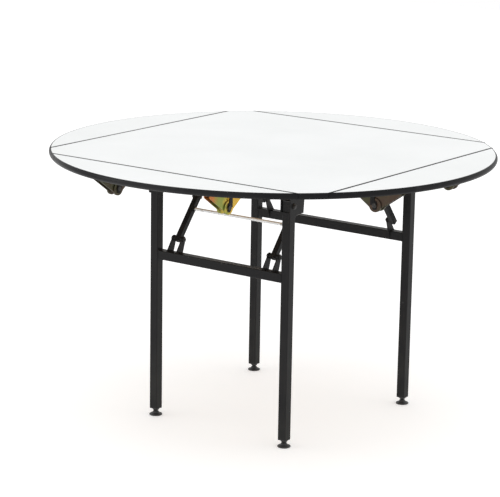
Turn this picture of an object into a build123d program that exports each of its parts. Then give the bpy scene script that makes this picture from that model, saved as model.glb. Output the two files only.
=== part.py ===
from build123d import *
from math import cos, radians, sin
import os

# Round folding banquet table: a square top with four hinged round segments,
# on two folding leg frames. Millimetres, +Z up, origin on the floor below
# the middle of the top. The front is at -Y and the right side at +X.

# Top and its skins
table_height = 750.0
round_diameter = 1220.0
square_side = 914.0
laminate_thickness = 1.0
board_thickness = 15.0
edging_strip = 2.0
edging_bulge = 4.0
seam_band = 1.2
seam_gap = 1.0

# Leaf brackets: a fixed and a swinging channel arm on one pin
bracket_offset = 180.0
bracket_width = 26.0
arm_plate = 2.5
arm_length = 75.0
arm_end_depth = 15.0
arm_tongue = 18.0
arm_side_clearance = 0.4
knuckle_radius = 18.0
hinge_drop = 49.0
hinge_pin_radius = 4.0
pin_head_radius = 6.5
pin_head_height = 2.0
strap_width = 12.0
strap_plate = 2.0
web_setback = 8.0

# Leg tubes, rails and feet
tube_size = 25.0
tube_wall = 1.5
tube_corner = 2.0
front_leg_x = 219.0
back_leg_x = 262.0
front_leg_y = 232.0
back_leg_y = 291.0
front_pivot_drop = 77.0
back_pivot_drop = 32.0
front_rail_drop = 271.5
back_rail_drop = 246.5
leg_bottom = 22.0
leg_above_pivot = 13.0
cap_plate = 2.0
plug_flange = 2.0
plug_depth = 22.0
glide_radius = 18.0
glide_rim = 3.0
glide_height = 9.0
glide_neck_radius = 7.0
glide_stem_radius = 5.0
glide_stem_length = 31.0

# Leg brackets under the top
bracket_plate = 3.0
leg_side_gap = 0.5
bracket_reach_front = 53.0
bracket_reach_back = 28.0
bracket_slant = 9.0
bracket_below_pivot = 24.0
stop_below_pivot = 16.0
tab_width = 20.0
leg_bolt_radius = 5.0

# Braces: a lower strut and an upper link that fold at a knee, and a cross rod
strut_size = 16.0
strut_wall = 1.2
brace_slope = 51.8
front_strut_x = 160.0
back_strut_x = 224.0
strut_rail_gap = 1.0
strut_pivot_above_rail = 45.5
front_link_drop = 34.0
back_link_drop = 12.0
ear_plate = 3.0
ear_gap = 28.6
ear_radius = 9.0
ear_root_share = 0.8
strut_end = 7.0
sleeve_radius = 7.0
sleeve_side_gap = 0.4
brace_bolt_radius = 4.0
rod_distance = 95.0
rod_radius = 4.5
nut_radius = 7.0
nut_height = 6.0
leg_nut_radius = 8.0
link_plate = 4.0
link_width = 14.0
link_side_gap = 0.5
link_stub_gap = 0.3
rivet_head_radius = 6.5
rivet_head_height = 3.0
link_bracket_plate = 3.0
link_bracket_radius = 10.0
link_bracket_length = 40.0
link_bracket_flange = 18.0

# Fits and screws
running_clearance = 0.1
screw_head_radius = 4.5
screw_head_height = 3.0
screw_shank_radius = 2.0
screw_hole_clearance = 0.2

# Sizes worked out from the ones above
round_radius = round_diameter / 2
square_half = square_side / 2
board_top = table_height - laminate_thickness
underside = board_top - board_thickness
board_radius = round_radius - edging_bulge - edging_strip
main_edge = square_half - seam_gap / 2
leaf_edge = square_half + seam_gap / 2
hinge_z = underside - hinge_drop
swing_width = bracket_width - 2 * (arm_plate + arm_side_clearance)
strut_offset = tube_size / 2 + strut_size / 2 + strut_rail_gap
link_face = strut_size / 2 + link_side_gap
link_bracket_face = link_face + link_plate + link_side_gap

os.makedirs("parts", exist_ok=True)


def save(piece, name):
    """Label one finished sub-part and write its file."""
    piece.part.label = name
    export_step(piece.part, f"parts/{name}.step")


def turned(source, angle):
    """The same sub-part on another side of the table."""
    with BuildPart() as piece:
        add(source.part.rotate(Axis.Z, angle))
    return piece


def gathered(pieces):
    """Like pieces kept as separate solids of one sub-part."""
    with BuildPart() as group:
        for piece in pieces:
            add(piece)
    return group


# The square top: a plywood core, a white laminate skin, and black edging
# whose rounded nose follows the circle at the four corners.
def main_slab(low, high):
    with BuildPart() as slab:
        with BuildSketch(Plane.XY.offset(low)):
            Circle(board_radius)
            Rectangle(2 * (main_edge - seam_band), 2 * (main_edge - seam_band), mode=Mode.INTERSECT)
        extrude(amount=high - low)
    return slab


def keep_in_quarter(inset):
    """Trims a leaf's sketch to its quarter of the circle, clear of its neighbours."""
    tip = -seam_gap - 2 * inset
    reach = 2 * round_radius
    Polygon(
        (0, tip),
        (-reach, tip - reach),
        (reach, tip - reach),
        align=None,
        mode=Mode.INTERSECT,
    )


def leaf_slab(low, high):
    inner = leaf_edge + seam_band
    with BuildPart() as slab:
        with BuildSketch(Plane.XY.offset(low)):
            Circle(board_radius)
            with Locations((0, -inner - board_radius / 2)):
                Rectangle(2 * board_radius, board_radius, mode=Mode.INTERSECT)
            keep_in_quarter(seam_band)
        extrude(amount=high - low)
    return slab


nose_shoulder_share = 0.79


def rounded_disc():
    """A full disc with the edging's rounded nose, before it is cut into pieces."""
    nose = board_radius + edging_strip
    shoulder = nose + nose_shoulder_share * edging_bulge
    middle = (underside + table_height) / 2
    with BuildPart() as disc:
        with BuildSketch(Plane.XZ):
            with BuildLine():
                Polyline((nose, table_height), (0, table_height), (0, underside), (nose, underside))
                ThreePointArc(
                    (nose, underside),
                    (shoulder, (underside + middle) / 2),
                    (round_radius, middle),
                )
                ThreePointArc(
                    (round_radius, middle),
                    (shoulder, (middle + table_height) / 2),
                    (nose, table_height),
                )
            make_face()
        revolve(axis=Axis.Z)
    return disc


full_disc = rounded_disc()
main_core = main_slab(underside, table_height)
leaf_core = leaf_slab(underside, table_height)
edging_height = table_height - underside

with BuildPart() as main_edging:
    add(full_disc.part)
    with Locations((0, 0, underside)):
        Box(
            2 * main_edge,
            2 * main_edge,
            edging_height,
            align=(Align.CENTER, Align.CENTER, Align.MIN),
            mode=Mode.INTERSECT,
        )
    add(main_core.part, mode=Mode.SUBTRACT)

with BuildPart() as leaf_edging:
    add(full_disc.part)
    with BuildSketch(Plane.XY.offset(underside)):
        with Locations((0, -leaf_edge - round_radius / 2)):
            Rectangle(2 * round_radius, round_radius)
        keep_in_quarter(0)
    extrude(amount=edging_height, mode=Mode.INTERSECT)
    add(leaf_core.part, mode=Mode.SUBTRACT)

main_board = main_slab(underside, board_top)
main_laminate = main_slab(board_top, table_height)
leaf_board = leaf_slab(underside, board_top)
leaf_laminate = leaf_slab(board_top, table_height)


# Screws with hexagon heads, standing in the board from below.
def screw(x, y, seat):
    with BuildPart() as fastener:
        with BuildSketch(Plane.XY.offset(seat)):
            with Locations((x, y)):
                RegularPolygon(screw_head_radius, 6)
        extrude(amount=-screw_head_height)
        with BuildSketch(Plane.XY.offset(seat)):
            with Locations((x, y)):
                RegularPolygon(screw_shank_radius, 6)
        extrude(amount=underside - seat)
    return fastener.part


# Leaf brackets. Each is a pair of pressed channel arms whose side flanges
# deepen towards a common pin below the seam, so that the leaf can fold flat
# under the top with room for the arms between the two boards.
arm_screw_shares = (0.45, 0.8, 1.12)


def bracket_arm(centre_x, reach, width, hole_radius):
    """One arm; reach is 1 under the square top and -1 under the leaf."""
    seam = -square_half
    near = seam + reach * seam_gap
    tip = seam + reach * arm_length
    web_start = seam + reach * web_setback
    web_end = tip + reach * arm_tongue
    with BuildPart() as arm:
        for side in (-1, 1):
            flange_plane = Plane.YZ.offset(centre_x + side * (width - arm_plate) / 2)
            with BuildSketch(flange_plane):
                with BuildLine():
                    Polyline(
                        (near, underside),
                        (tip, underside),
                        (tip, underside - arm_end_depth),
                        (seam, hinge_z - knuckle_radius),
                        (seam, hinge_z),
                        close=True,
                    )
                make_face()
                with Locations((seam, hinge_z)):
                    Circle(knuckle_radius)
                    Circle(hole_radius, mode=Mode.SUBTRACT)
            extrude(amount=arm_plate / 2, both=True)
        with BuildSketch(Plane.XY.offset(underside - arm_plate)):
            with Locations((centre_x, (web_start + web_end) / 2)):
                Rectangle(width, abs(web_end - web_start))
            for share in arm_screw_shares:
                with Locations((centre_x, seam + reach * share * arm_length)):
                    Circle(screw_shank_radius + screw_hole_clearance, mode=Mode.SUBTRACT)
        extrude(amount=arm_plate)
    return arm.part


def arm_screws(centre_x, reach):
    seat = underside - arm_plate
    return [screw(centre_x, -square_half + reach * share * arm_length, seat) for share in arm_screw_shares]


def hinge_pin(centre_x):
    half = bracket_width / 2 + strap_plate
    with BuildPart() as pin:
        with BuildSketch(Plane.YZ.offset(centre_x)):
            with Locations((-square_half, hinge_z)):
                Circle(hinge_pin_radius)
        extrude(amount=half, both=True)
        for side in (-1, 1):
            with BuildSketch(Plane.YZ.offset(centre_x + side * half)):
                with Locations((-square_half, hinge_z)):
                    Circle(pin_head_radius)
            extrude(amount=side * pin_head_height)
    return pin.part


def hinge_straps(centre_x):
    """Two black straps that carry the pin's ends, one outside each flange."""
    straps = []
    for side in (-1, 1):
        face = centre_x + side * bracket_width / 2
        with BuildPart() as strap:
            with BuildSketch(Plane.YZ.offset(face)):
                with Locations((-square_half, hinge_z)):
                    SlotOverall(2 * strap_width, strap_width, rotation=90)
                with Locations((-square_half + strap_width / 2 + seam_gap, (hinge_z + underside) / 2)):
                    Rectangle(strap_width, underside - hinge_z)
                with Locations((-square_half, hinge_z)):
                    Circle(hinge_pin_radius, mode=Mode.SUBTRACT)
            extrude(amount=side * strap_plate)
        straps.append(strap.part)
    return straps


hinge_places = (-bracket_offset, bracket_offset)
side_turns = {"front": 0, "right": 90, "back": 180, "left": 270}

fixed_arms = []
pins = []
straps = []
root_screws = []
for turn in side_turns.values():
    for place in hinge_places:
        fixed_arms.append(bracket_arm(place, 1, bracket_width, hinge_pin_radius).rotate(Axis.Z, turn))
        pins.append(hinge_pin(place).rotate(Axis.Z, turn))
        straps += [strap.rotate(Axis.Z, turn) for strap in hinge_straps(place)]
        root_screws += [fastener.rotate(Axis.Z, turn) for fastener in arm_screws(place, 1)]

swing_hole = hinge_pin_radius + running_clearance
swing_arms = gathered([bracket_arm(place, -1, swing_width, swing_hole) for place in hinge_places])
swing_screws = gathered([item for place in hinge_places for item in arm_screws(place, -1)])

save(main_board, "main_board")
save(main_laminate, "main_laminate")
save(main_edging, "main_edging")
save(gathered(fixed_arms), "fixed_arms")
save(gathered(pins), "hinge_pins")
save(gathered(straps), "hinge_straps")
for side, turn in side_turns.items():
    save(turned(leaf_board, turn), f"leaf_{side}_board")
    save(turned(leaf_laminate, turn), f"leaf_{side}_laminate")
    save(turned(leaf_edging, turn), f"leaf_{side}_edging")
    save(turned(swing_arms, turn), f"leaf_{side}_arms")
    save(turned(swing_screws, turn), f"leaf_{side}_screws")


# Leg frames. The front frame is the narrow one and hangs lower, so that
# folded flat it lies under the wide back frame. Each side of a frame is
# described by its X place and the sign of its Y place.
frames = {
    "front": {
        "sign": -1,
        "leg_x": front_leg_x,
        "leg_y": -front_leg_y,
        "pivot_z": underside - front_pivot_drop,
        "rail_z": underside - front_rail_drop,
        "strut_x": front_strut_x,
        "reach": bracket_reach_front,
        "link_drop": front_link_drop,
        "ear_sides": (-1, 1),
    },
    "back": {
        "sign": 1,
        "leg_x": back_leg_x,
        "leg_y": back_leg_y,
        "pivot_z": underside - back_pivot_drop,
        "rail_z": underside - back_rail_drop,
        "strut_x": back_strut_x,
        "reach": bracket_reach_back,
        "link_drop": back_link_drop,
        "ear_sides": (-1,),
    },
}
tube_bore = tube_size - 2 * tube_wall
sides = {"left": -1, "right": 1}


def leg(x, y, pivot_z):
    top = pivot_z + leg_above_pivot
    with BuildPart() as post:
        with BuildSketch(Plane.XY.offset(leg_bottom)):
            with Locations((x, y)):
                RectangleRounded(tube_size, tube_size, tube_corner)
                Rectangle(tube_bore, tube_bore, mode=Mode.SUBTRACT)
        extrude(amount=top - leg_bottom)
        with BuildSketch(Plane.YZ.offset(x)):
            with Locations((y, pivot_z)):
                Circle(leg_bolt_radius + running_clearance)
        extrude(amount=tube_size, both=True, mode=Mode.SUBTRACT)
    return post


def leg_cap(x, y, pivot_z):
    top = pivot_z + leg_above_pivot
    with BuildPart() as cap:
        with BuildSketch(Plane.XY.offset(top)):
            with Locations((x, y)):
                RectangleRounded(tube_size, tube_size, tube_corner)
        extrude(amount=cap_plate)
    return cap.part


def foot_plug(x, y):
    """The plastic insert that closes the tube and carries the glide's stem."""
    with BuildPart() as plug:
        with BuildSketch(Plane.XY.offset(leg_bottom - plug_flange)):
            with Locations((x, y)):
                RectangleRounded(tube_size, tube_size, tube_corner)
        extrude(amount=plug_flange)
        with BuildSketch(Plane.XY.offset(leg_bottom)):
            with Locations((x, y)):
                Rectangle(tube_bore, tube_bore)
        extrude(amount=plug_depth)
        with BuildSketch(Plane.XY.offset(leg_bottom - plug_flange)):
            with Locations((x, y)):
                Circle(glide_stem_radius + running_clearance)
        extrude(amount=plug_flange + plug_depth, mode=Mode.SUBTRACT)
    return plug.part


def glide(x, y):
    """A domed levelling foot on a threaded stem."""
    with BuildPart() as foot:
        with BuildSketch(Plane.XZ):
            with BuildLine():
                Polyline((0, glide_height), (0, 0), (glide_radius, 0), (glide_radius, glide_rim))
                ThreePointArc(
                    (glide_radius, glide_rim),
                    ((glide_radius + glide_neck_radius) / 2, (glide_rim + 2 * glide_height) / 3),
                    (glide_neck_radius, glide_height),
                )
                Line((glide_neck_radius, glide_height), (0, glide_height))
            make_face()
        revolve(axis=Axis.Z)
        with BuildSketch(Plane.XY.offset(glide_height)):
            Circle(glide_stem_radius)
        extrude(amount=glide_stem_length)
    with BuildPart() as placed:
        with Locations((x, y, 0)):
            add(foot.part)
    return placed


def rail(frame):
    """The cross tube between the two legs of a frame."""
    half = frame["leg_x"] - tube_size / 2
    with BuildPart() as bar:
        with BuildSketch(Plane.YZ):
            with Locations((frame["leg_y"], frame["rail_z"])):
                RectangleRounded(tube_size, tube_size, tube_corner)
                Rectangle(tube_bore, tube_bore, mode=Mode.SUBTRACT)
        extrude(amount=half, both=True)
    return bar


tab_screw_shares = (0.2, 0.8)


def leg_bracket(frame, x):
    """A folded channel: two cheeks, a stop across the outside, and two tabs."""
    sign = frame["sign"]
    outer_y = frame["leg_y"] + sign * (tube_size / 2 + leg_side_gap)
    back_y = outer_y + sign * bracket_plate
    inner_y = frame["leg_y"] - sign * frame["reach"]
    low = frame["pivot_z"] - bracket_below_pivot
    inner_low_y = inner_y + sign * bracket_slant
    cheek_gap = tube_size / 2 + leg_side_gap
    with BuildPart() as bracket:
        for side in (-1, 1):
            face = x + side * cheek_gap
            with BuildSketch(Plane.YZ.offset(face)):
                with BuildLine():
                    Polyline(
                        (back_y, underside),
                        (inner_y, underside),
                        (inner_low_y, low),
                        (back_y, low),
                        close=True,
                    )
                make_face()
                with Locations((frame["leg_y"], frame["pivot_z"])):
                    Circle(leg_bolt_radius, mode=Mode.SUBTRACT)
            extrude(amount=side * bracket_plate)
            with BuildSketch(Plane.XY.offset(underside - bracket_plate)):
                tab_x = face + side * (bracket_plate + tab_width / 2)
                with Locations((tab_x, (back_y + inner_y) / 2)):
                    Rectangle(tab_width, abs(back_y - inner_y))
                for share in tab_screw_shares:
                    with Locations((tab_x, back_y + share * (inner_y - back_y))):
                        Circle(screw_shank_radius + screw_hole_clearance, mode=Mode.SUBTRACT)
            extrude(amount=bracket_plate)
        stop_top = frame["pivot_z"] - stop_below_pivot
        with BuildSketch(Plane.XZ.offset(-outer_y)):
            with Locations((x, (low + stop_top) / 2)):
                Rectangle(2 * cheek_gap, stop_top - low)
        extrude(amount=-sign * bracket_plate)
    return bracket.part


def leg_bracket_screws(frame, x):
    sign = frame["sign"]
    back_y = frame["leg_y"] + sign * (tube_size / 2 + leg_side_gap + bracket_plate)
    inner_y = frame["leg_y"] - sign * frame["reach"]
    reach_x = tube_size / 2 + leg_side_gap + bracket_plate + tab_width / 2
    seat = underside - bracket_plate
    spots = []
    for side in (-1, 1):
        for share in tab_screw_shares:
            spots.append((x + side * reach_x, back_y + share * (inner_y - back_y)))
    return [screw(spot_x, spot_y, seat) for spot_x, spot_y in spots]


def leg_bolt(frame, x):
    half = tube_size / 2 + leg_side_gap + bracket_plate
    with BuildPart() as bolt:
        with BuildSketch(Plane.YZ.offset(x)):
            with Locations((frame["leg_y"], frame["pivot_z"])):
                Circle(leg_bolt_radius)
        extrude(amount=half, both=True)
        for side in (-1, 1):
            with BuildSketch(Plane.YZ.offset(x + side * half)):
                with Locations((frame["leg_y"], frame["pivot_z"])):
                    RegularPolygon(leg_nut_radius, 6)
            extrude(amount=side * nut_height)
    return bolt.part


# Braces. Each frame has two, joined by a cross rod. The lower strut stands on
# ears of the rail, and a flat link beside it hangs from a plate under the top.
# The knee between them drops as the frame folds, and both end up flat.
def inward(frame, distance):
    """The Y place that lies this far towards the middle from the leg."""
    return frame["leg_y"] - frame["sign"] * distance


def brace_foot(frame):
    """Y and Z of the bolt that carries the struts on the rail's ears."""
    return inward(frame, strut_offset), frame["rail_z"] + strut_pivot_above_rail


def brace_length(frame):
    """From the foot bolt to the link's pin, measured along the open brace."""
    foot_z = brace_foot(frame)[1]
    return (underside - frame["link_drop"] - foot_z) / sin(radians(brace_slope))


def strut_length(frame):
    """From the foot bolt to the knee, so that the knee closes when folded."""
    length = brace_length(frame)
    foot_z = brace_foot(frame)[1]
    folded_in = frame["pivot_z"] - foot_z
    folded_z = frame["pivot_z"] + strut_offset
    pin_in = strut_offset + length * cos(radians(brace_slope))
    pin_z = underside - frame["link_drop"]
    across = pin_in - folded_in
    rise = pin_z - folded_z
    return (length**2 - across**2 - rise**2) / (2 * (length - across))


def along_brace(frame, distance):
    """Y and Z of a point on the open brace, measured from its foot bolt."""
    foot_z = brace_foot(frame)[1]
    slope = radians(brace_slope)
    return inward(frame, strut_offset + distance * cos(slope)), foot_z + distance * sin(slope)


def ears(frame, x, outward):
    """Plates welded on the rail, with the strut's foot beside or between them."""
    foot_y, foot_z = brace_foot(frame)
    sign = frame["sign"]
    rail_y = frame["leg_y"]
    inner_face = inward(frame, tube_size / 2)
    rail_top = frame["rail_z"] + tube_size / 2
    rail_low = frame["rail_z"] - tube_size / 2 + tube_corner
    plates = []
    for side in frame["ear_sides"]:
        face = x + outward * side * ear_gap / 2
        with BuildPart() as plate:
            with BuildSketch(Plane.YZ.offset(face)):
                with BuildLine():
                    Polyline(
                        (rail_y + sign * ear_root_share * tube_size / 2, rail_top),
                        (inner_face, rail_top),
                        (inner_face, rail_low),
                        (foot_y - sign * ear_radius, foot_z),
                        (foot_y + sign * ear_radius, foot_z),
                        close=True,
                    )
                make_face()
                with Locations((foot_y, foot_z)):
                    Circle(ear_radius)
                    Circle(brace_bolt_radius, mode=Mode.SUBTRACT)
            extrude(amount=outward * side * ear_plate)
        plates.append(plate.part)
    return plates


def ear_bolt(frame, x, outward):
    """Nuts outside the ears; without an outer ear it ends in the strut's face."""
    half = ear_gap / 2 + ear_plate
    outer = half if 1 in frame["ear_sides"] else strut_size / 2
    with BuildPart() as bolt:
        with BuildSketch(Plane.YZ.offset(x - outward * half)):
            with Locations(brace_foot(frame)):
                Circle(brace_bolt_radius)
        extrude(amount=outward * (half + outer))
        for side in frame["ear_sides"]:
            with BuildSketch(Plane.YZ.offset(x + outward * side * half)):
                with Locations(brace_foot(frame)):
                    RegularPolygon(nut_radius, 6)
            extrude(amount=outward * side * nut_height)
    return bolt.part


def strut(frame, x, outward):
    """A square tube with a sleeve at its foot and holes for rod and knee bolt."""
    foot_y, foot_z = brace_foot(frame)
    slope = radians(brace_slope)
    axis_plane = Plane(
        origin=(x, foot_y, foot_z),
        x_dir=(1, 0, 0),
        z_dir=(0, -frame["sign"] * cos(slope), sin(slope)),
    )
    bore = strut_size - 2 * strut_wall
    with BuildPart() as tube:
        with BuildSketch(axis_plane.offset(-strut_end)):
            RectangleRounded(strut_size, strut_size, tube_corner)
            Rectangle(bore, bore, mode=Mode.SUBTRACT)
        extrude(amount=strut_length(frame) + 2 * strut_end)
        for side in frame["ear_sides"]:
            with BuildSketch(Plane.YZ.offset(x)):
                with Locations((foot_y, foot_z)):
                    Circle(sleeve_radius)
            extrude(amount=outward * side * (ear_gap / 2 - sleeve_side_gap))
        with BuildSketch(Plane.YZ.offset(x)):
            with Locations((foot_y, foot_z)):
                Circle(brace_bolt_radius + running_clearance)
            with Locations(along_brace(frame, rod_distance)):
                Circle(rod_radius)
            with Locations(along_brace(frame, strut_length(frame))):
                Circle(brace_bolt_radius)
        extrude(amount=ear_gap, both=True, mode=Mode.SUBTRACT)
    return tube


def cross_rod(frame):
    """It ends flush in the struts' outer faces, where the links pass close by."""
    with BuildPart() as rod:
        with BuildSketch(Plane.YZ):
            with Locations(along_brace(frame, rod_distance)):
                Circle(rod_radius)
        extrude(amount=frame["strut_x"] + strut_size / 2, both=True)
    return rod


def rod_nut(frame, x, outward):
    with BuildPart() as nut:
        with BuildSketch(Plane.YZ.offset(x - outward * strut_size / 2)):
            with Locations(along_brace(frame, rod_distance)):
                RegularPolygon(nut_radius, 6)
                Circle(rod_radius, mode=Mode.SUBTRACT)
        extrude(amount=-outward * nut_height)
    return nut.part


def knee_bolt(frame, x, outward):
    """The half of the knee's bolt that stays in the strut, with its nut."""
    knee = along_brace(frame, strut_length(frame))
    with BuildPart() as bolt:
        with BuildSketch(Plane.YZ.offset(x - outward * strut_size / 2)):
            with Locations(knee):
                Circle(brace_bolt_radius)
        extrude(amount=outward * strut_size)
        with BuildSketch(Plane.YZ.offset(x - outward * strut_size / 2)):
            with Locations(knee):
                RegularPolygon(nut_radius, 6)
        extrude(amount=-outward * nut_height)
    return bolt.part


def link(frame, x, outward):
    """A flat bar from the knee to the pin under the top."""
    knee_y, knee_z = along_brace(frame, strut_length(frame))
    pin_y, pin_z = along_brace(frame, brace_length(frame))
    with BuildPart() as bar:
        with BuildSketch(Plane.YZ.offset(x + outward * link_face)):
            with Locations(((knee_y + pin_y) / 2, (knee_z + pin_z) / 2)):
                SlotCenterToCenter(
                    brace_length(frame) - strut_length(frame),
                    link_width,
                    rotation=-frame["sign"] * brace_slope,
                )
            with Locations((knee_y, knee_z)):
                Circle(brace_bolt_radius, mode=Mode.SUBTRACT)
            with Locations((pin_y, pin_z)):
                Circle(brace_bolt_radius + running_clearance, mode=Mode.SUBTRACT)
        extrude(amount=outward * link_plate)
    return bar.part


def knee_rivet(frame, x, outward):
    """The half of the knee's bolt that stays in the link, with its head."""
    knee = along_brace(frame, strut_length(frame))
    start = strut_size / 2 + link_stub_gap
    head = link_face + link_plate
    with BuildPart() as rivet:
        with BuildSketch(Plane.YZ.offset(x + outward * start)):
            with Locations(knee):
                Circle(brace_bolt_radius)
        extrude(amount=outward * (head - start))
        with BuildSketch(Plane.YZ.offset(x + outward * head)):
            with Locations(knee):
                Circle(rivet_head_radius)
        extrude(amount=outward * rivet_head_height)
    return rivet.part


def link_pin(frame, x, outward):
    """The pin that carries the link, with its head outside the plate."""
    place = along_brace(frame, brace_length(frame))
    head = link_bracket_face + link_bracket_plate
    with BuildPart() as pin:
        with BuildSketch(Plane.YZ.offset(x + outward * link_face)):
            with Locations(place):
                Circle(brace_bolt_radius)
        extrude(amount=outward * (head - link_face))
        with BuildSketch(Plane.YZ.offset(x + outward * head)):
            with Locations(place):
                Circle(rivet_head_radius)
        extrude(amount=outward * rivet_head_height)
    return pin.part


link_screw_shares = (-0.3, 0.3)


def link_bracket(frame, x, outward):
    """A folded plate under the top: a cheek for the pin and a screwed flange."""
    pin_y, pin_z = along_brace(frame, brace_length(frame))
    face = x + outward * link_bracket_face
    flange_x = face + outward * (link_bracket_plate + link_bracket_flange) / 2
    screw_x = face + outward * (link_bracket_plate + link_bracket_flange / 2)
    with BuildPart() as bracket:
        with BuildSketch(Plane.YZ.offset(face)):
            with BuildLine():
                Polyline(
                    (pin_y - link_bracket_length / 2, underside),
                    (pin_y + link_bracket_length / 2, underside),
                    (pin_y + link_bracket_radius, pin_z),
                    (pin_y - link_bracket_radius, pin_z),
                    close=True,
                )
            make_face()
            with Locations((pin_y, pin_z)):
                Circle(link_bracket_radius)
                Circle(brace_bolt_radius, mode=Mode.SUBTRACT)
        extrude(amount=outward * link_bracket_plate)
        with BuildSketch(Plane.XY.offset(underside - link_bracket_plate)):
            with Locations((flange_x, pin_y)):
                Rectangle(link_bracket_plate + link_bracket_flange, link_bracket_length)
            for share in link_screw_shares:
                with Locations((screw_x, pin_y + share * link_bracket_length)):
                    Circle(screw_shank_radius + screw_hole_clearance, mode=Mode.SUBTRACT)
        extrude(amount=link_bracket_plate)
    return bracket.part


def link_screws(frame, x, outward):
    pin_y = along_brace(frame, brace_length(frame))[0]
    screw_x = x + outward * (link_bracket_face + link_bracket_plate + link_bracket_flange / 2)
    seat = underside - link_bracket_plate
    return [screw(screw_x, pin_y + share * link_bracket_length, seat) for share in link_screw_shares]


pivot_bolts = []
link_brackets = []
for name, frame in frames.items():
    leg_y = frame["leg_y"]
    brackets = []
    frame_ears = []
    ear_bolts = []
    plugs = []
    nuts = []
    links = []
    rivets = []
    for side, outward in sides.items():
        leg_x = outward * frame["leg_x"]
        strut_x = outward * frame["strut_x"]
        save(leg(leg_x, leg_y, frame["pivot_z"]), f"{name}_{side}_leg")
        save(glide(leg_x, leg_y), f"{name}_{side}_glide")
        save(strut(frame, strut_x, outward), f"{name}_{side}_strut")
        plugs.append(leg_cap(leg_x, leg_y, frame["pivot_z"]))
        plugs.append(foot_plug(leg_x, leg_y))
        brackets.append(leg_bracket(frame, leg_x))
        root_screws += leg_bracket_screws(frame, leg_x)
        pivot_bolts.append(leg_bolt(frame, leg_x))
        pivot_bolts.append(link_pin(frame, strut_x, outward))
        frame_ears += ears(frame, strut_x, outward)
        ear_bolts.append(ear_bolt(frame, strut_x, outward))
        nuts.append(rod_nut(frame, strut_x, outward))
        nuts.append(knee_bolt(frame, strut_x, outward))
        links.append(link(frame, strut_x, outward))
        rivets.append(knee_rivet(frame, strut_x, outward))
        link_brackets.append(link_bracket(frame, strut_x, outward))
        root_screws += link_screws(frame, strut_x, outward)
    save(rail(frame), f"{name}_rail")
    save(cross_rod(frame), f"{name}_cross_rod")
    save(gathered(plugs), f"{name}_tube_plugs")
    save(gathered(brackets), f"{name}_leg_brackets")
    save(gathered(frame_ears), f"{name}_rail_ears")
    save(gathered(ear_bolts), f"{name}_ear_bolts")
    save(gathered(nuts), f"{name}_brace_nuts")
    save(gathered(links), f"{name}_links")
    save(gathered(rivets), f"{name}_link_rivets")
    pin_y, pin_z = along_brace(frame, brace_length(frame))
    print(name, "strut", strut_length(frame), "pin", pin_y, pin_z)

save(gathered(pivot_bolts), "pivot_bolts")
save(gathered(link_brackets), "brace_brackets")
save(gathered(root_screws), "underside_screws")
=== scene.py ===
from math import pi, radians

import bpy
from mathutils import Matrix, Vector


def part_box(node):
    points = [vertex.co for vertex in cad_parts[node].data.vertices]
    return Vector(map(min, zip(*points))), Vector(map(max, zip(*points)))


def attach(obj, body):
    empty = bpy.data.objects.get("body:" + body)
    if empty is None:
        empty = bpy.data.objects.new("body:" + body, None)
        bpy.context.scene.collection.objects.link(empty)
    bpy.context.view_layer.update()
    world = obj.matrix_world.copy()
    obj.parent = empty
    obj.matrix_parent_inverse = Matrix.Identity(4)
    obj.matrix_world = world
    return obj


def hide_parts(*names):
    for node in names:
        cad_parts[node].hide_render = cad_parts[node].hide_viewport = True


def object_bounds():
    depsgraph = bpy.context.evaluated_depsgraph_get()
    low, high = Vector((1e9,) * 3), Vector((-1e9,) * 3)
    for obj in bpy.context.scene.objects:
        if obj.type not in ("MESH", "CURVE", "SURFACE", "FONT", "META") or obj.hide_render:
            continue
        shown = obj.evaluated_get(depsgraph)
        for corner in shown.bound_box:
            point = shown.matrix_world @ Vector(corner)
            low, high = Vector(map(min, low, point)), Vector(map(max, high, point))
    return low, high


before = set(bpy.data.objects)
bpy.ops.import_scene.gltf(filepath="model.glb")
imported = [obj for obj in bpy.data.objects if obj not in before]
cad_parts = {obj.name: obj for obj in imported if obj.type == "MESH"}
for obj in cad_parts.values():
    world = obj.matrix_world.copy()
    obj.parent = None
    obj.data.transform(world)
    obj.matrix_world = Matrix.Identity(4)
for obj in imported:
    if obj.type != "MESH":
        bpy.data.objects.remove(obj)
cad_low, cad_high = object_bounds()

# The camera stands high and far off the table's front right corner, with a
# long lens tilted down a little, as in the product photograph.
camera_place = (3.167, -4.449, 1.764)
camera_heading = radians(36.06)
camera_pitch = radians(13.37)
camera_roll = radians(0.97)
lens_mm = 146.2

camera_data = bpy.data.cameras.new("camera")
camera_data.lens = lens_mm
camera = bpy.data.objects.new("camera", camera_data)
bpy.context.scene.collection.objects.link(camera)
heading = Matrix.Rotation(camera_heading, 4, "Z")
tilt = Matrix.Rotation(pi / 2 - camera_pitch, 4, "X")
roll = Matrix.Rotation(camera_roll, 4, "Z")
camera.matrix_world = Matrix.Translation(camera_place) @ heading @ tilt @ roll
bpy.context.scene.camera = camera


# Shader sums are written as plain expressions. A Wire wraps one socket, and a
# Paint is one finish: a material whose patterns all follow the object's place.
class Wire:
    def __init__(self, paint, socket):
        self.paint = paint
        self.socket = socket

    def __add__(self, other):
        return self.paint.math("ADD", self, other)

    def __sub__(self, other):
        return self.paint.math("SUBTRACT", self, other)

    def __mul__(self, other):
        return self.paint.math("MULTIPLY", self, other)

    def __rsub__(self, other):
        return self.paint.math("SUBTRACT", other, self)

    __radd__ = __add__
    __rmul__ = __mul__


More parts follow.
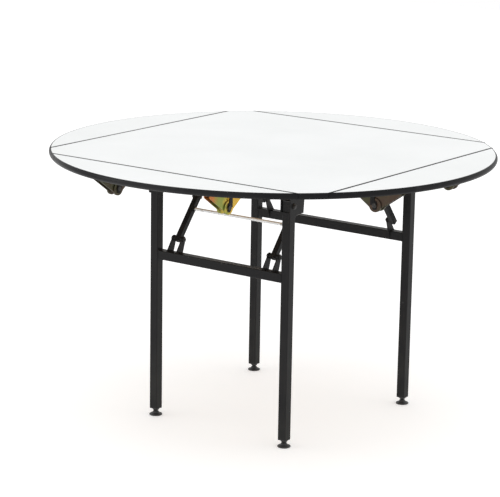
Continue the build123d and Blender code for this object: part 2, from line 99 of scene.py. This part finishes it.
class Paint:
    clear_coat_roughness = 0.12

    def __init__(self, name):
        self.material = bpy.data.materials.new(name)
        self.material.use_nodes = True
        self.nodes = self.material.node_tree.nodes
        self.links = self.material.node_tree.links
        self.shader = self.nodes["Principled BSDF"]
        self.place = self.node("ShaderNodeTexCoord", {}, {}, "Object")

    def node(self, kind, settings, sockets, output):
        made = self.nodes.new(kind)
        for key, value in settings.items():
            setattr(made, key, value)
        self.fill(made, sockets)
        return Wire(self, made.outputs[output])

    def fill(self, made, sockets):
        for key, value in sockets.items():
            if isinstance(value, Wire):
                self.links.new(value.socket, made.inputs[key])
            else:
                made.inputs[key].default_value = value

    def math(self, operation, first, second):
        return self.node("ShaderNodeMath", {"operation": operation}, {0: first, 1: second}, 0)

    def noise(self, scale, detail=3, place=None):
        sockets = {"Vector": place or self.place, "Scale": scale, "Detail": detail}
        return self.node("ShaderNodeTexNoise", {}, sockets, 0)

    def cells(self, scale, place=None):
        sockets = {"Vector": place or self.place, "Scale": scale}
        return self.node("ShaderNodeTexVoronoi", {}, sockets, "Distance")

    def stretched(self, scale):
        sockets = {"Vector": self.place, "Scale": scale}
        return self.node("ShaderNodeMapping", {}, sockets, 0)

    def between(self, wire, low, high, start=0.0, end=1.0):
        """Maps low..high of a wire to start..end, held at both ends."""
        sockets = {0: wire, 1: low, 2: high, 3: start, 4: end}
        return self.node("ShaderNodeMapRange", {}, sockets, 0)

    def blend(self, share, first, second):
        first = first if isinstance(first, Wire) else (*first, 1.0)
        second = second if isinstance(second, Wire) else (*second, 1.0)
        sockets = {0: share, 6: first, 7: second}
        return self.node("ShaderNodeMix", {"data_type": "RGBA"}, sockets, 2)

    def along(self, axis):
        """The place on the object along X, Y or Z (0, 1 or 2), in metres."""
        return self.node("ShaderNodeSeparateXYZ", {}, {0: self.place}, axis)

    def bumped(self, height, strength, distance):
        sockets = {"Strength": strength, "Distance": distance, "Height": height}
        return self.node("ShaderNodeBump", {}, sockets, 0)

    def done(self, specular=0.5, **sockets):
        self.shader.inputs["Specular IOR Level"].default_value = specular
        self.shader.inputs["Coat Roughness"].default_value = self.clear_coat_roughness
        names = {key.replace("_", " ").title(): value for key, value in sockets.items()}
        self.fill(self.shader, names)
        return self.material


def dress(material, *names):
    """Gives carried-over pieces their finish."""
    for name in names:
        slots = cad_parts[name].data.materials
        slots.clear()
        slots.append(material)


sides = ("front", "right", "back", "left")

# The top is skinned with a pale laminate, pressed to a faint pebble so that
# cloths don't slide. It is nearly white, with soft clouds and a dull sheen.
laminate_white = (0.845, 0.858, 0.858)
laminate_shade = (0.800, 0.815, 0.812)
laminate_fleck = (0.72, 0.73, 0.73)

laminate = Paint("pale_laminate")
clouds = laminate.noise(3.2, 4)
flecks = laminate.between(laminate.noise(420, 2), 0.55, 0.72)
wiped = laminate.stretched((1.0, 6.0, 1.0))
scuffs = laminate.between(laminate.noise(9, 5, wiped), 0.60, 0.75)
shaded = laminate.between(clouds, 0.35, 0.7)
skin_colour = laminate.blend(shaded, laminate_white, laminate_shade)
skin_colour = laminate.blend(flecks * 0.22, skin_colour, laminate_fleck)
pebble = laminate.cells(900) + laminate.noise(260, 2) * 0.6
laminate_finish = laminate.done(
    specular=0.3,
    base_color=skin_colour,
    roughness=0.46 + clouds * 0.08 + scuffs * 0.06,
    normal=laminate.bumped(pebble, 0.10, 0.0002),
    coat_weight=0.03 + flecks * 0.03,
)
dress(laminate_finish, "main_laminate", *[f"leaf_{side}_laminate" for side in sides])

# The core is plywood with a raw sanded underside. The grain runs along X, and
# the veneer has darker late wood and a few pale filled patches.
veneer_pale = (0.50, 0.36, 0.22)
veneer_dark = (0.31, 0.20, 0.11)
veneer_fibre = (0.24, 0.15, 0.08)
veneer_filler = (0.56, 0.43, 0.29)

core = Paint("raw_plywood")
long_grain = core.stretched((1.4, 26.0, 26.0))
waves = core.noise(5.0, 6, long_grain)
fibres = core.noise(60, 3, long_grain)
board_colour = core.blend(core.between(waves, 0.32, 0.68), veneer_pale, veneer_dark)
board_colour = core.blend(core.between(fibres, 0.5, 0.8) * 0.5, board_colour, veneer_fibre)
filled = core.between(core.noise(2.4, 2), 0.5, 0.75)
board_colour = core.blend(filled * 0.35, board_colour, veneer_filler)
core_finish = core.done(
    base_color=board_colour,
    roughness=0.72 + waves * 0.12,
    normal=core.bumped(fibres + waves * 0.5, 0.25, 0.0004),
)
dress(core_finish, "main_board", *[f"leaf_{side}_board" for side in sides])

# Black edging is an extruded bullnose pressed round the rim, with thin flat
# strips along the seams. Its gloss comes and goes, with fine draw lines.
edging_black = (0.008, 0.008, 0.009)
edging_rubbed = (0.05, 0.05, 0.052)

edging = Paint("black_edging")
draw_lines = edging.noise(1200, 2, edging.stretched((0.02, 0.02, 1.0)))
rubbed = edging.between(edging.noise(34, 5), 0.58, 0.78)
glossy = edging.between(edging.noise(1.9, 1), 0.46, 0.60)
edging_finish = edging.done(
    specular=0.10,
    base_color=edging.blend(rubbed * 0.35, edging_black, edging_rubbed),
    roughness=0.38 + rubbed * 0.16 + edging.noise(90, 2) * 0.05,
    normal=edging.bumped(draw_lines + edging.noise(16, 2) * 0.5, 0.12, 0.0003),
    coat_weight=glossy * 0.42 * (1 - rubbed * 0.5),
)
dress(edging_finish, "main_edging", *[f"leaf_{side}_edging" for side in sides])


def set_finish(piece, material):
    piece.data.materials.clear()
    piece.data.materials.append(material)


# Each seam strip turns over onto the laminate in a thin lip, so a seam reads
# as a dark line. The lip's edges are rounded and its ends are cut along the rim.
lip_width = 0.0034
lip_height = 0.0007
lip_proud = 0.00025
lip_round_share = 0.8
seam_place = 0.457
seam_half_gap = 0.0005
rim_radius = 0.6085
top_face = cad_high.z


def seam_lip(name, inward, turn):
    """A lip beside a seam; inward is 1 on the square and -1 on a segment."""
    edge = seam_place - inward * seam_half_gap
    far = edge - inward * lip_width
    half = (rim_radius ** 2 - edge ** 2) ** 0.5
    bpy.ops.object.select_all(action="DESELECT")
    bpy.ops.mesh.primitive_cube_add(size=1)
    lip = bpy.context.active_object
    lip.name = name
    lip.scale = (2 * half, lip_width, lip_height)
    lip.location = (0, -(edge + far) / 2, top_face + lip_proud - lip_height / 2)
    bpy.ops.object.transform_apply(location=True, scale=True)
    bpy.ops.object.mode_set(mode="EDIT")
    for end in (-1, 1):
        bpy.ops.mesh.select_all(action="SELECT")
        bpy.ops.mesh.bisect(
            plane_co=(end * half, -edge, top_face),
            plane_no=(end * half, -edge, 0),
            use_fill=True, clear_outer=True,
        )
    bpy.ops.mesh.select_all(action="SELECT")
    bpy.ops.mesh.normals_make_consistent(inside=False)
    bpy.ops.object.mode_set(mode="OBJECT")
    soften = lip.modifiers.new("soften", "BEVEL")
    soften.width = lip_proud * lip_round_share
    soften.segments = 2
    soften.limit_method = "ANGLE"
    bpy.ops.object.modifier_apply(modifier="soften")
    lip.data.transform(Matrix.Rotation(turn, 4, "Z"))
    bpy.ops.object.shade_smooth_by_angle(angle=radians(40))
    set_finish(lip, edging_finish)
    return lip


for index, side in enumerate(sides):
    turn = index * pi / 2
    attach(seam_lip(f"{side}_seam_lip", 1, turn), "root")
    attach(seam_lip(f"leaf_{side}_seam_lip", -1, turn), f"leaf_{side}")

# The segment brackets are pressed steel channels, zinc plated and passivated
# yellow. The film goes from gold inside to green at the knuckle and orange at the
# tip. One bracket at the front and one at the back keep this lit colour; the rest
# are painted dark olive to brown, a painted shade for their dim reflections.
zinc_straw = (0.60, 0.40, 0.055)
zinc_orange = (0.46, 0.150, 0.040)
zinc_green = (0.235, 0.270, 0.060)
# Painted shade colours for the darkened brackets, dark olive and brown.
zinc_shade_olive = (0.052, 0.052, 0.024)
zinc_shade_brown = (0.062, 0.040, 0.026)
zinc_pale = (0.66, 0.56, 0.30)
divide = 0.02
green_start = 0.450
green_full = 0.474
tip_start = 0.494
tip_full = 0.512

zinc = Paint("yellow_zinc")
film = zinc.noise(24, 3)
patches = zinc.noise(15, 2)
drawn = zinc.stretched((1.0, 9.0, 1.0))
scratches = zinc.between(zinc.noise(70, 4, drawn), 0.62, 0.80)
across = zinc.along(0)
deep = zinc.along(1)
from_side = zinc.math("ABSOLUTE", across, 0.0)
from_front = zinc.math("ABSOLUTE", deep, 0.0)
at_sides = zinc.between(from_side - from_front, -divide, divide)
same_sign = zinc.between(across * deep, -divide, divide)
# Painted shade mask: the side arms and the brackets where X and Y share a sign are darkened.
painted_bracket_shade = 1 - (1 - at_sides) * (1 - same_sign)
reach = zinc.math("MAXIMUM", from_side, from_front)
drift = reach + film * 0.07 - 0.035
zinc_colour = zinc.blend(zinc.between(patches, 0.42, 0.62) * 0.7, zinc_straw, zinc_orange)
zinc_colour = zinc.blend(zinc.between(drift, green_start, green_full), zinc_colour, zinc_green)
zinc_colour = zinc.blend(zinc.between(patches, 0.50, 0.60) * 0.6, zinc_colour, zinc_straw)
zinc_colour = zinc.blend(zinc.between(drift, tip_start, tip_full) * 0.9, zinc_colour, zinc_orange)
# The painted shade itself: dark olive to brown, varied a little with noise.
bracket_shade_colour = zinc.blend(zinc.between(film, 0.42, 0.62), zinc_shade_olive, zinc_shade_brown)
zinc_colour = zinc.blend(scratches * 0.35, zinc_colour, zinc_pale)
# Painted shade over the darkened brackets, which also lose some metal sheen.
zinc_colour = zinc.blend(painted_bracket_shade, zinc_colour, bracket_shade_colour)
zinc_finish = zinc.done(
    base_color=zinc_colour,
    metallic=0.90 - painted_bracket_shade * 0.3,
    roughness=0.30 + film * 0.16 + scratches * 0.10,
    normal=zinc.bumped(zinc.noise(240, 3) + scratches * 0.6, 0.16, 0.0003),
)
dress(zinc_finish, "fixed_arms", *[f"leaf_{side}_arms" for side in sides])

# Tubes, brackets and straps have a black powder coat: a fine orange peel, with
# a grey bloom of dust low on the legs and small chips that show bare steel.
coat_black = (0.0085, 0.0085, 0.009)
coat_faded = (0.016, 0.016, 0.017)
coat_dust = (0.040, 0.040, 0.036)
coat_chip = (0.10, 0.097, 0.094)
dust_top = 0.34

coat = Paint("black_powder_coat")
peel = coat.cells(520) + coat.noise(300, 2) * 0.7
low_down = coat.between(coat.along(2), 0.0, dust_top, 1.0, 0.0)
dusty = low_down * coat.between(coat.noise(14, 4), 0.35, 0.75)
wear = coat.between(coat.noise(75, 5), 0.70, 0.76)
coat_colour = coat.blend(coat.noise(8, 3) * 0.35, coat_black, coat_faded)
coat_colour = coat.blend(dusty * 0.55, coat_colour, coat_dust)
coat_colour = coat.blend(wear * 0.4, coat_colour, coat_chip)
coat_finish = coat.done(
    specular=0.15,
    base_color=coat_colour,
    metallic=wear * 0.4,
    roughness=0.38 + coat.noise(40, 3) * 0.10 + dusty * 0.22,
    normal=coat.bumped(peel, 0.20, 0.00035),
)
frames = ("front", "back")
hands = ("left", "right")
coated = ["hinge_straps", "brace_brackets"]
for name in frames:
    coated += [f"{name}_{hand}_{piece}" for hand in hands for piece in ("leg", "strut")]
    coated += [f"{name}_{piece}" for piece in ("rail", "leg_brackets", "rail_ears", "links")]
dress(coat_finish, *coated)

# Screws and cross rods are plain steel with a pale zinc plate, rather dull,
# with fine turning lines and darker grime in places.
plate_bright = (0.80, 0.81, 0.81)
plate_grime = (0.40, 0.40, 0.39)

steel = Paint("bright_zinc")
grime = steel.between(steel.noise(55, 4), 0.50, 0.72)
turning = steel.noise(700, 2)
steel_finish = steel.done(
    base_color=steel.blend(grime * 0.35, plate_bright, plate_grime),
    metallic=0.72,
    roughness=0.44 + grime * 0.18 + turning * 0.05,
    normal=steel.bumped(turning + grime, 0.12, 0.0002),
)

# Bolts, nuts, rivets and hinge pins are blackened and oiled: a thin brown-black
# film that is rubbed to grey metal in specks.
oxide_black = (0.022, 0.021, 0.020)
oxide_rubbed = (0.16, 0.155, 0.15)

blackened = Paint("black_oxide")
bare = blackened.between(blackened.noise(190, 4), 0.60, 0.76)
oxide_finish = blackened.done(
    base_color=blackened.blend(bare * 0.6, oxide_black, oxide_rubbed),
    metallic=0.35 + bare * 0.5,
    roughness=0.34 + blackened.noise(80, 3) * 0.12,
    normal=blackened.bumped(blackened.noise(500, 2) + bare, 0.12, 0.0002),
)
dress(oxide_finish, "hinge_pins")

# End plugs and glides are moulded nylon, black, with the slight grain of the
# mould and a paler rubbed rim where a glide meets the floor.
nylon_black = (0.020, 0.020, 0.021)
nylon_rubbed = (0.15, 0.148, 0.14)
rub_height = 0.004

nylon = Paint("black_nylon")
grain = nylon.noise(650, 2)
floor_rub = nylon.between(nylon.along(2), 0.0, rub_height, 1.0, 0.0) * nylon.noise(90, 4)
nylon_finish = nylon.done(
    base_color=nylon.blend(floor_rub, nylon_black, nylon_rubbed),
    roughness=0.46 + grain * 0.10 + floor_rub * 0.2,
    normal=nylon.bumped(grain + nylon.noise(120, 2), 0.14, 0.0002),
)
dress(nylon_finish, "front_tube_plugs", "back_tube_plugs")


# Each glide is a turned foot on a blackened stem: a flat pad with a rounded rim
# that rises to a collar, and a lock nut run up under the leg's end plug.
def rings_to_solid(name, rings, vertices):
    """Extrudes a circle ring by ring; rings are (radius, height) from the bottom."""
    bpy.ops.object.select_all(action="DESELECT")
    radius, height = rings[0]
    bpy.ops.mesh.primitive_circle_add(
        vertices=vertices, radius=radius, fill_type="NGON", location=(0, 0, height)
    )
    piece = bpy.context.active_object
    piece.name = name
    bpy.ops.object.transform_apply(location=True)
    bpy.ops.object.mode_set(mode="EDIT")
    bpy.ops.mesh.select_all(action="SELECT")
    for (radius, height), (wide, high) in zip(rings, rings[1:]):
        bpy.ops.mesh.extrude_region_move(TRANSFORM_OT_translate={"value": (0, 0, high - height)})
        share = wide / radius
        bpy.ops.transform.resize(value=(share, share, 1), center_override=(0, 0, high))
    bpy.ops.mesh.select_all(action="SELECT")
    bpy.ops.mesh.normals_make_consistent(inside=False)
    bpy.ops.object.mode_set(mode="OBJECT")
    return piece


def select_only(piece):
    bpy.ops.object.select_all(action="DESELECT")
    piece.select_set(True)
    bpy.context.view_layer.objects.active = piece


def smoothed(piece, angle=35):
    select_only(piece)
    bpy.ops.object.shade_smooth_by_angle(angle=radians(angle))
    return piece


def placed_copy(pattern, name, place, turn=None):
    """A copy with its own mesh, turned and moved, with its place in its mesh."""
    copy = pattern.copy()
    copy.data = pattern.data.copy()
    copy.name = name
    bpy.context.scene.collection.objects.link(copy)
    move = Matrix.Translation(place)
    copy.data.transform(move @ turn if turn else move)
    return copy


def merged(pieces, name):
    """Joins like pieces into the one object that stands for a node."""
    bpy.ops.object.select_all(action="DESELECT")
    for piece in pieces:
        piece.select_set(True)
    bpy.context.view_layer.objects.active = pieces[0]
    bpy.ops.object.join()
    joined = bpy.context.active_object
    joined.name = name
    return joined


def thread_rings(radius, start, end, pitch, depth):
    """Ring sizes for a stretch of thread: a crest and a root for each pitch."""
    count = max(1, round((end - start) / pitch))
    step = (end - start) / count
    rings = []
    for turn in range(count):
        rings.append((radius - depth, start + turn * step))
        rings.append((radius, start + (turn + 0.5) * step))
    return rings


def hexagon(name, corner_radius, thickness):
    """A nut or bolt head: a six sided prism with softened corners."""
    bpy.ops.object.select_all(action="DESELECT")
    bpy.ops.mesh.primitive_cylinder_add(
        vertices=6, radius=corner_radius, depth=thickness, location=(0, 0, thickness / 2)
    )
    piece = bpy.context.active_object
    piece.name = name
    bpy.ops.object.transform_apply(location=True)
    bevel = piece.modifiers.new("corners", "BEVEL")
    bevel.width = nut_bevel
    bevel.segments = 2
    bevel.limit_method = "ANGLE"
    bpy.ops.object.modifier_apply(modifier="corners")
    return piece


nut_bevel = 0.0006
glide_radius = 0.018
stem_radius = 0.005
thread_depth = 0.0004
lock_nut_radius = 0.0092
lock_nut_low = 0.0148
lock_nut_height = 0.0048
stem_pitch = 0.00125
crest_slack = 0.0001
stem_thread_low = 0.0122
stem_thread_high = 0.0210
stem_core = stem_radius - thread_depth
stem_crest = stem_radius - crest_slack
pad_rings = [
    (0.0120, 0.0000), (0.0162, 0.0000), (0.0176, 0.0006),
    (glide_radius, 0.0016), (glide_radius, 0.0028), (0.0174, 0.0036),
    (0.0160, 0.0043), (0.0135, 0.0054), (0.0108, 0.0064), (0.0092, 0.0078),
    (0.0084, 0.0090), (0.0080, 0.0104), (0.0076, 0.0112), (0.0068, 0.0117),
    (stem_core, 0.0118), (stem_core, 0.0120), (0.0020, 0.0120),
]
stem_rings = [(stem_core, 0.0110)]
stem_rings += thread_rings(
    stem_crest, stem_thread_low, stem_thread_high, stem_pitch, thread_depth
)
stem_rings += [(stem_core, 0.0215), (stem_core, 0.0390), (0.0035, 0.0400)]
pad = smoothed(rings_to_solid("pad", pad_rings, 48))
set_finish(pad, nylon_finish)
stem = smoothed(rings_to_solid("stem", stem_rings, 32))
lock_nut = hexagon("lock_nut", lock_nut_radius, lock_nut_height)
lock_nut.data.transform(Matrix.Translation((0, 0, lock_nut_low)))
smoothed(lock_nut, 30)
for piece in (stem, lock_nut):
    set_finish(piece, oxide_finish)
foot_pattern = merged([pad, stem, lock_nut], "foot_pattern")

for name in frames:
    for hand in hands:
        node = f"{name}_{hand}_glide"
        low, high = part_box(node)
        centre = ((low.x + high.x) / 2, (low.y + high.y) / 2, 0)
        foot = placed_copy(foot_pattern, f"{name}_{hand}_turned_foot", centre)
        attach(foot, f"{name}_{hand}_foot")
        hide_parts(node)
bpy.data.objects.remove(foot_pattern)

# Screws hold every bracket to the underside. Each has a pan head with a straight
# rim and a cross recess, and is driven up into the board.
head_radius = 0.0045
head_height = 0.0028
recess_depth = 0.0016
cut_overrun = 0.001
recess_length = 0.0048
recess_width = 0.0011
neck_radius = 0.0020
neck_length = 0.0028
screw_turn = 2.4

screw_rings = [
    (0.0018, 0.0), (0.0030, 0.0001), (0.0038, 0.0005), (0.0042, 0.0011),
    (head_radius - 0.0002, 0.0019), (head_radius, 0.0023), (head_radius, head_height),
    (neck_radius, head_height), (neck_radius, head_height + neck_length),
]
screw_pattern = rings_to_solid("screw_pattern", screw_rings, 24)
for turn in (0, pi / 2):
    bpy.ops.object.select_all(action="DESELECT")
    centre = (0, 0, (recess_depth - cut_overrun) / 2)
    bpy.ops.mesh.primitive_cube_add(size=1, location=centre, rotation=(0, 0, turn))
    cutter = bpy.context.active_object
    cutter.scale = (recess_length, recess_width, recess_depth + cut_overrun)
    select_only(screw_pattern)
    cut = screw_pattern.modifiers.new("recess", "BOOLEAN")
    cut.operation = "DIFFERENCE"
    cut.object = cutter
    cut.solver = "EXACT"
    bpy.ops.object.modifier_apply(modifier="recess")
    bpy.data.objects.remove(cutter)
smoothed(screw_pattern, 40)
set_finish(screw_pattern, steel_finish)


def islands(name):
    """The box of each separate solid in a node, from its loose triangles."""
    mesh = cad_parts[name].data
    owner = {}

    def find(key):
        while owner[key] != key:
            owner[key] = owner[owner[key]]
            key = owner[key]
        return key

    keys = [tuple(round(c, 5) for c in v.co) for v in mesh.vertices]
    for key in keys:
        owner.setdefault(key, key)
    for face in mesh.polygons:
        first = find(keys[face.vertices[0]])
        for index in face.vertices[1:]:
            owner[find(keys[index])] = first
    groups = {}
    for key in owner:
        groups.setdefault(find(key), []).append(key)
    boxes = []
    for points in groups.values():
        low = Vector([min(p[axis] for p in points) for axis in range(3)])
        high = Vector([max(p[axis] for p in points) for axis in range(3)])
        boxes.append((low, high))
    return sorted(boxes, key=lambda box: tuple(box[0]))


def lay_screws(node, body):
    copies = []
    for index, (low, high) in enumerate(islands(node)):
        centre = (low + high) / 2
        turn = Matrix.Rotation(index * screw_turn, 4, "Z")
        copies.append(placed_copy(screw_pattern, "screw", (centre.x, centre.y, low.z), turn))
    group = merged(copies, f"{body}_pan_screws")
    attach(group, body)
    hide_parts(node)


lay_screws("underside_screws", "root")
for side in sides:
    lay_screws(f"leaf_{side}_screws", f"leaf_{side}")
bpy.data.objects.remove(screw_pattern)

# Bolts lie across the table, along X. Each is a plain shank with a nut on a washer
# at one end or both, and a short end of thread beyond. A link's pin and its half of
# the knee bolt have a domed rivet head instead, and a rod's nut has no shank.
toward_x = Matrix.Rotation(pi / 2, 4, "Y")
washer_thickness = 0.0012
washer_share = 1.08
rim_share = 0.25
thread_end = 0.0022
end_pitch = 0.0009
end_chamfer = 0.0010
shortest_leg_bolt = 0.035
shortest_through_bolt = 0.040
shortest_shank = 0.0001


def disc(name, radius, thickness):
    rim = thickness * rim_share
    rings = [(radius - rim, 0), (radius, rim), (radius, thickness - rim), (radius - rim, thickness)]
    return rings_to_solid(name, rings, 32)


def fastener(name, nut_radius, thickness, bolt_radius):
    """A nut on its washer with a short end of thread, pointing up from z = 0."""
    washer = disc("washer", nut_radius * washer_share, washer_thickness)
    nut = hexagon("nut", nut_radius, thickness - washer_thickness - thread_end)
    nut.data.transform(Matrix.Translation((0, 0, washer_thickness)))
    start = thickness - thread_end
    end_rings = [(bolt_radius - thread_depth, washer_thickness)]
    end_rings += thread_rings(
        bolt_radius - crest_slack, start, thickness - thread_depth, end_pitch, thread_depth
    )
    end_rings.append((bolt_radius - end_chamfer, thickness))
    end = rings_to_solid("thread", end_rings, 24)
    piece = merged([washer, nut, end], name)
    smoothed(piece, 30)
    set_finish(piece, oxide_finish)
    return piece


def along_x(pattern, name, place, direction):
    """A copy whose own Z points along +X or -X."""
    turn = toward_x if direction > 0 else Matrix.Rotation(-pi / 2, 4, "Y")
    return placed_copy(pattern, name, place, turn)


def shank(name, radius, start, end, y, z):
    """A plain round bar along X between two places."""
    rings = [(radius, 0), (radius, end - start)]
    bar = rings_to_solid(name, rings, 32)
    bar.data.transform(Matrix.Translation((start, y, z)) @ toward_x)
    smoothed(bar, 40)
    set_finish(bar, oxide_finish)
    return bar


leg_bolt_radius = 0.005
brace_bolt_radius = 0.004
leg_nut_radius = 0.0078
brace_nut_radius = 0.0068
nut_height = 0.006
rivet_height = 0.003
big_fastener = fastener("big_fastener", leg_nut_radius, nut_height, leg_bolt_radius)
small_fastener = fastener("small_fastener", brace_nut_radius, nut_height, brace_bolt_radius)
rivet_rings = [
    (brace_bolt_radius, 0), (0.0062, 0), (0.0065, 0.0005), (0.0063, 0.0013),
    (0.0054, 0.0022), (0.0038, 0.0027), (0.0016, rivet_height),
]
rivet_head = smoothed(rings_to_solid("rivet_head", rivet_rings, 32), 50)
set_finish(rivet_head, oxide_finish)


def dress_bolts(node, body, radius, ends):
    """Replaces each bar of a node; ends gives the pieces at its low and high X."""
    pieces = []
    for low, high in islands(node):
        y = (low.y + high.y) / 2
        z = (low.z + high.z) / 2
        low_end, high_end = ends(low, high)
        start = low.x
        finish = high.x
        if low_end:
            start += low_end[1]
            pieces.append(along_x(low_end[0], "end", (start, y, z), -1))
        if high_end:
            finish -= high_end[1]
            pieces.append(along_x(high_end[0], "end", (finish, y, z), 1))
        if finish - start > shortest_shank:
            pieces.append(shank("shank", radius(low, high), start, finish, y, z))
    group = merged(pieces, f"{node}_turned")
    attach(group, body)
    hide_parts(node)


def is_leg_bolt(low, high):
    return high.x - low.x > shortest_leg_bolt


def pivot_ends(low, high):
    """Leg bolts have nuts at both ends; a link's pin has one head, outside."""
    if is_leg_bolt(low, high):
        return (big_fastener, nut_height), (big_fastener, nut_height)
    if low.x > 0:
        return None, (rivet_head, rivet_height)
    return (rivet_head, rivet_height), None


def pivot_radius(low, high):
    return leg_bolt_radius if is_leg_bolt(low, high) else brace_bolt_radius


def small_radius(low, high):
    return brace_bolt_radius


def ear_ends(low, high):
    """Front ear bolts have two nuts; back ones only the inner one."""
    both = high.x - low.x > shortest_through_bolt
    nut = (small_fastener, nut_height)
    inner_low = low.x > 0
    return nut if both or inner_low else None, nut if both or not inner_low else None


def link_ends(low, high):
    head = (rivet_head, rivet_height)
    return (None, head) if low.x > 0 else (head, None)


def nut_ends(low, high):
    nut = (small_fastener, nut_height)
    return (nut, None) if low.x > 0 else (None, nut)


dress_bolts("pivot_bolts", "root", pivot_radius, pivot_ends)
for name in frames:
    dress_bolts(f"{name}_ear_bolts", f"{name}_frame", small_radius, ear_ends)
    dress_bolts(f"{name}_link_rivets", f"{name}_link_pair", small_radius, link_ends)
    dress_bolts(f"{name}_brace_nuts", f"{name}_braces", small_radius, nut_ends)

# A cross rod joins the two struts of each brace. It is plain in the middle
# and threaded at both ends, where a nut pulls up against each strut.
rod_radius = 0.0045
thread_length = 0.030
rod_pitch = 0.00125
rod_thread_depth = 0.0006
rod_end_length = 0.0005
rod_end_chamfer = 0.0008
plain_depth = 0.0002
plain_radius = rod_radius - plain_depth
for name in frames:
    low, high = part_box(f"{name}_cross_rod")
    length = high.x - low.x
    far = length - thread_length
    rod_rings = thread_rings(rod_radius, 0, thread_length, rod_pitch, rod_thread_depth)
    rod_rings += [(plain_radius, thread_length), (plain_radius, far)]
    tip = length - rod_end_length
    rod_rings += thread_rings(rod_radius, far, tip, rod_pitch, rod_thread_depth)
    rod_rings.append((rod_radius - rod_end_chamfer, length))
    rod = rings_to_solid(f"{name}_threaded_rod", rod_rings, 24)
    start = (low.x, (low.y + high.y) / 2, (low.z + high.z) / 2)
    rod.data.transform(Matrix.Translation(start) @ toward_x)
    smoothed(rod, 40)
    set_finish(rod, steel_finish)
    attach(rod, f"{name}_braces")
    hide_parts(f"{name}_cross_rod")
for pattern in (big_fastener, small_fastener, rivet_head):
    bpy.data.objects.remove(pattern)

# Welds join the rails to the legs and the ears to the rails: small rippled
# beads laid along the joint, under the powder coat.
bead_radius = 0.0016
bead_ripple = 0.0022
bead_inset = 0.0025
tip_share = 0.3
valley_share = 0.82
valley_place_share = 0.15
crest_place_share = 0.6


def bead(start, end):
    """A rippled bead from one point to another."""
    run = Vector(end) - Vector(start)
    count = max(3, round(run.length / bead_ripple))
    rings = [(bead_radius * tip_share, 0.0)]
    for turn in range(count):
        valley = run.length * (turn + valley_place_share) / count
        crest = run.length * (turn + crest_place_share) / count
        rings.append((bead_radius * valley_share, valley))
        rings.append((bead_radius, crest))
    rings.append((bead_radius * tip_share, run.length))
    piece = rings_to_solid("bead", rings, 8)
    turn = run.to_track_quat("Z", "Y").to_matrix().to_4x4()
    piece.data.transform(Matrix.Translation(start) @ turn)
    smoothed(piece, 60)
    set_finish(piece, coat_finish)
    return piece


for name in frames:
    low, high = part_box(f"{name}_rail")
    beads = []
    for x in (low.x, high.x):
        for y in (low.y, high.y):
            beads.append(bead((x, y, low.z + bead_inset), (x, y, high.z - bead_inset)))
        for z in (low.z, high.z):
            beads.append(bead((x, low.y + bead_inset, z), (x, high.y - bead_inset, z)))
    for ear_low, ear_high in islands(f"{name}_rail_ears"):
        near = low.y if name == "back" else high.y
        for x in (ear_low.x, ear_high.x):
            beads.append(bead((x, near, low.z + 2 * bead_inset), (x, near, high.z - bead_inset)))
            beads.append(bead((x, low.y + bead_inset, high.z), (x, high.y - bead_inset, high.z)))
    welds = merged(beads, f"{name}_rail_welds")
    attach(welds, f"{name}_frame")

# The set is a wide pale sheet, lit a little from below, under an even white
# sky, with one wide soft light overhead and two weaker ones at the sides.
floor_half = 9.0
paper_white = (0.86, 0.86, 0.86)
paper_shade = (0.84, 0.84, 0.84)
paper_glow = 0.30
full_white = (1.0, 1.0, 1.0, 1.0)
light_target = Vector((0, 0, 0.5))

bpy.ops.object.select_all(action="DESELECT")
bpy.ops.mesh.primitive_plane_add(size=2 * floor_half, location=(0, 0, 0))
floor = bpy.context.active_object
floor.name = "studio_floor"
studio = Paint("studio_paper")
studio_finish = studio.done(
    specular=0.1,
    base_color=studio.blend(studio.noise(1.2, 2) * 0.1, paper_white, paper_shade),
    roughness=0.85,
    emission_color=full_white,
    emission_strength=paper_glow,
)
set_finish(floor, studio_finish)

bpy.context.scene.view_settings.view_transform = "Standard"
world = bpy.context.scene.world or bpy.data.worlds.new("studio")
bpy.context.scene.world = world
world.use_nodes = True
sky = world.node_tree.nodes["Background"].inputs
sky["Color"].default_value = full_white
sky["Strength"].default_value = 1.0


def soft_light(name, place, size, power):
    data = bpy.data.lights.new(name, "AREA")
    data.shape = "DISK"
    data.size = size
    data.energy = power
    lamp = bpy.data.objects.new(name, data)
    lamp.location = place
    aim = light_target - Vector(place)
    lamp.rotation_euler = aim.to_track_quat("-Z", "Y").to_euler()
    bpy.context.scene.collection.objects.link(lamp)


soft_light("overhead", place=(0.4, -0.6, 4.2), size=3.0, power=14)
soft_light("left_side", place=(-3.4, -2.6, 1.9), size=1.8, power=9)
soft_light("right_side", place=(3.6, 1.2, 1.6), size=1.4, power=8)
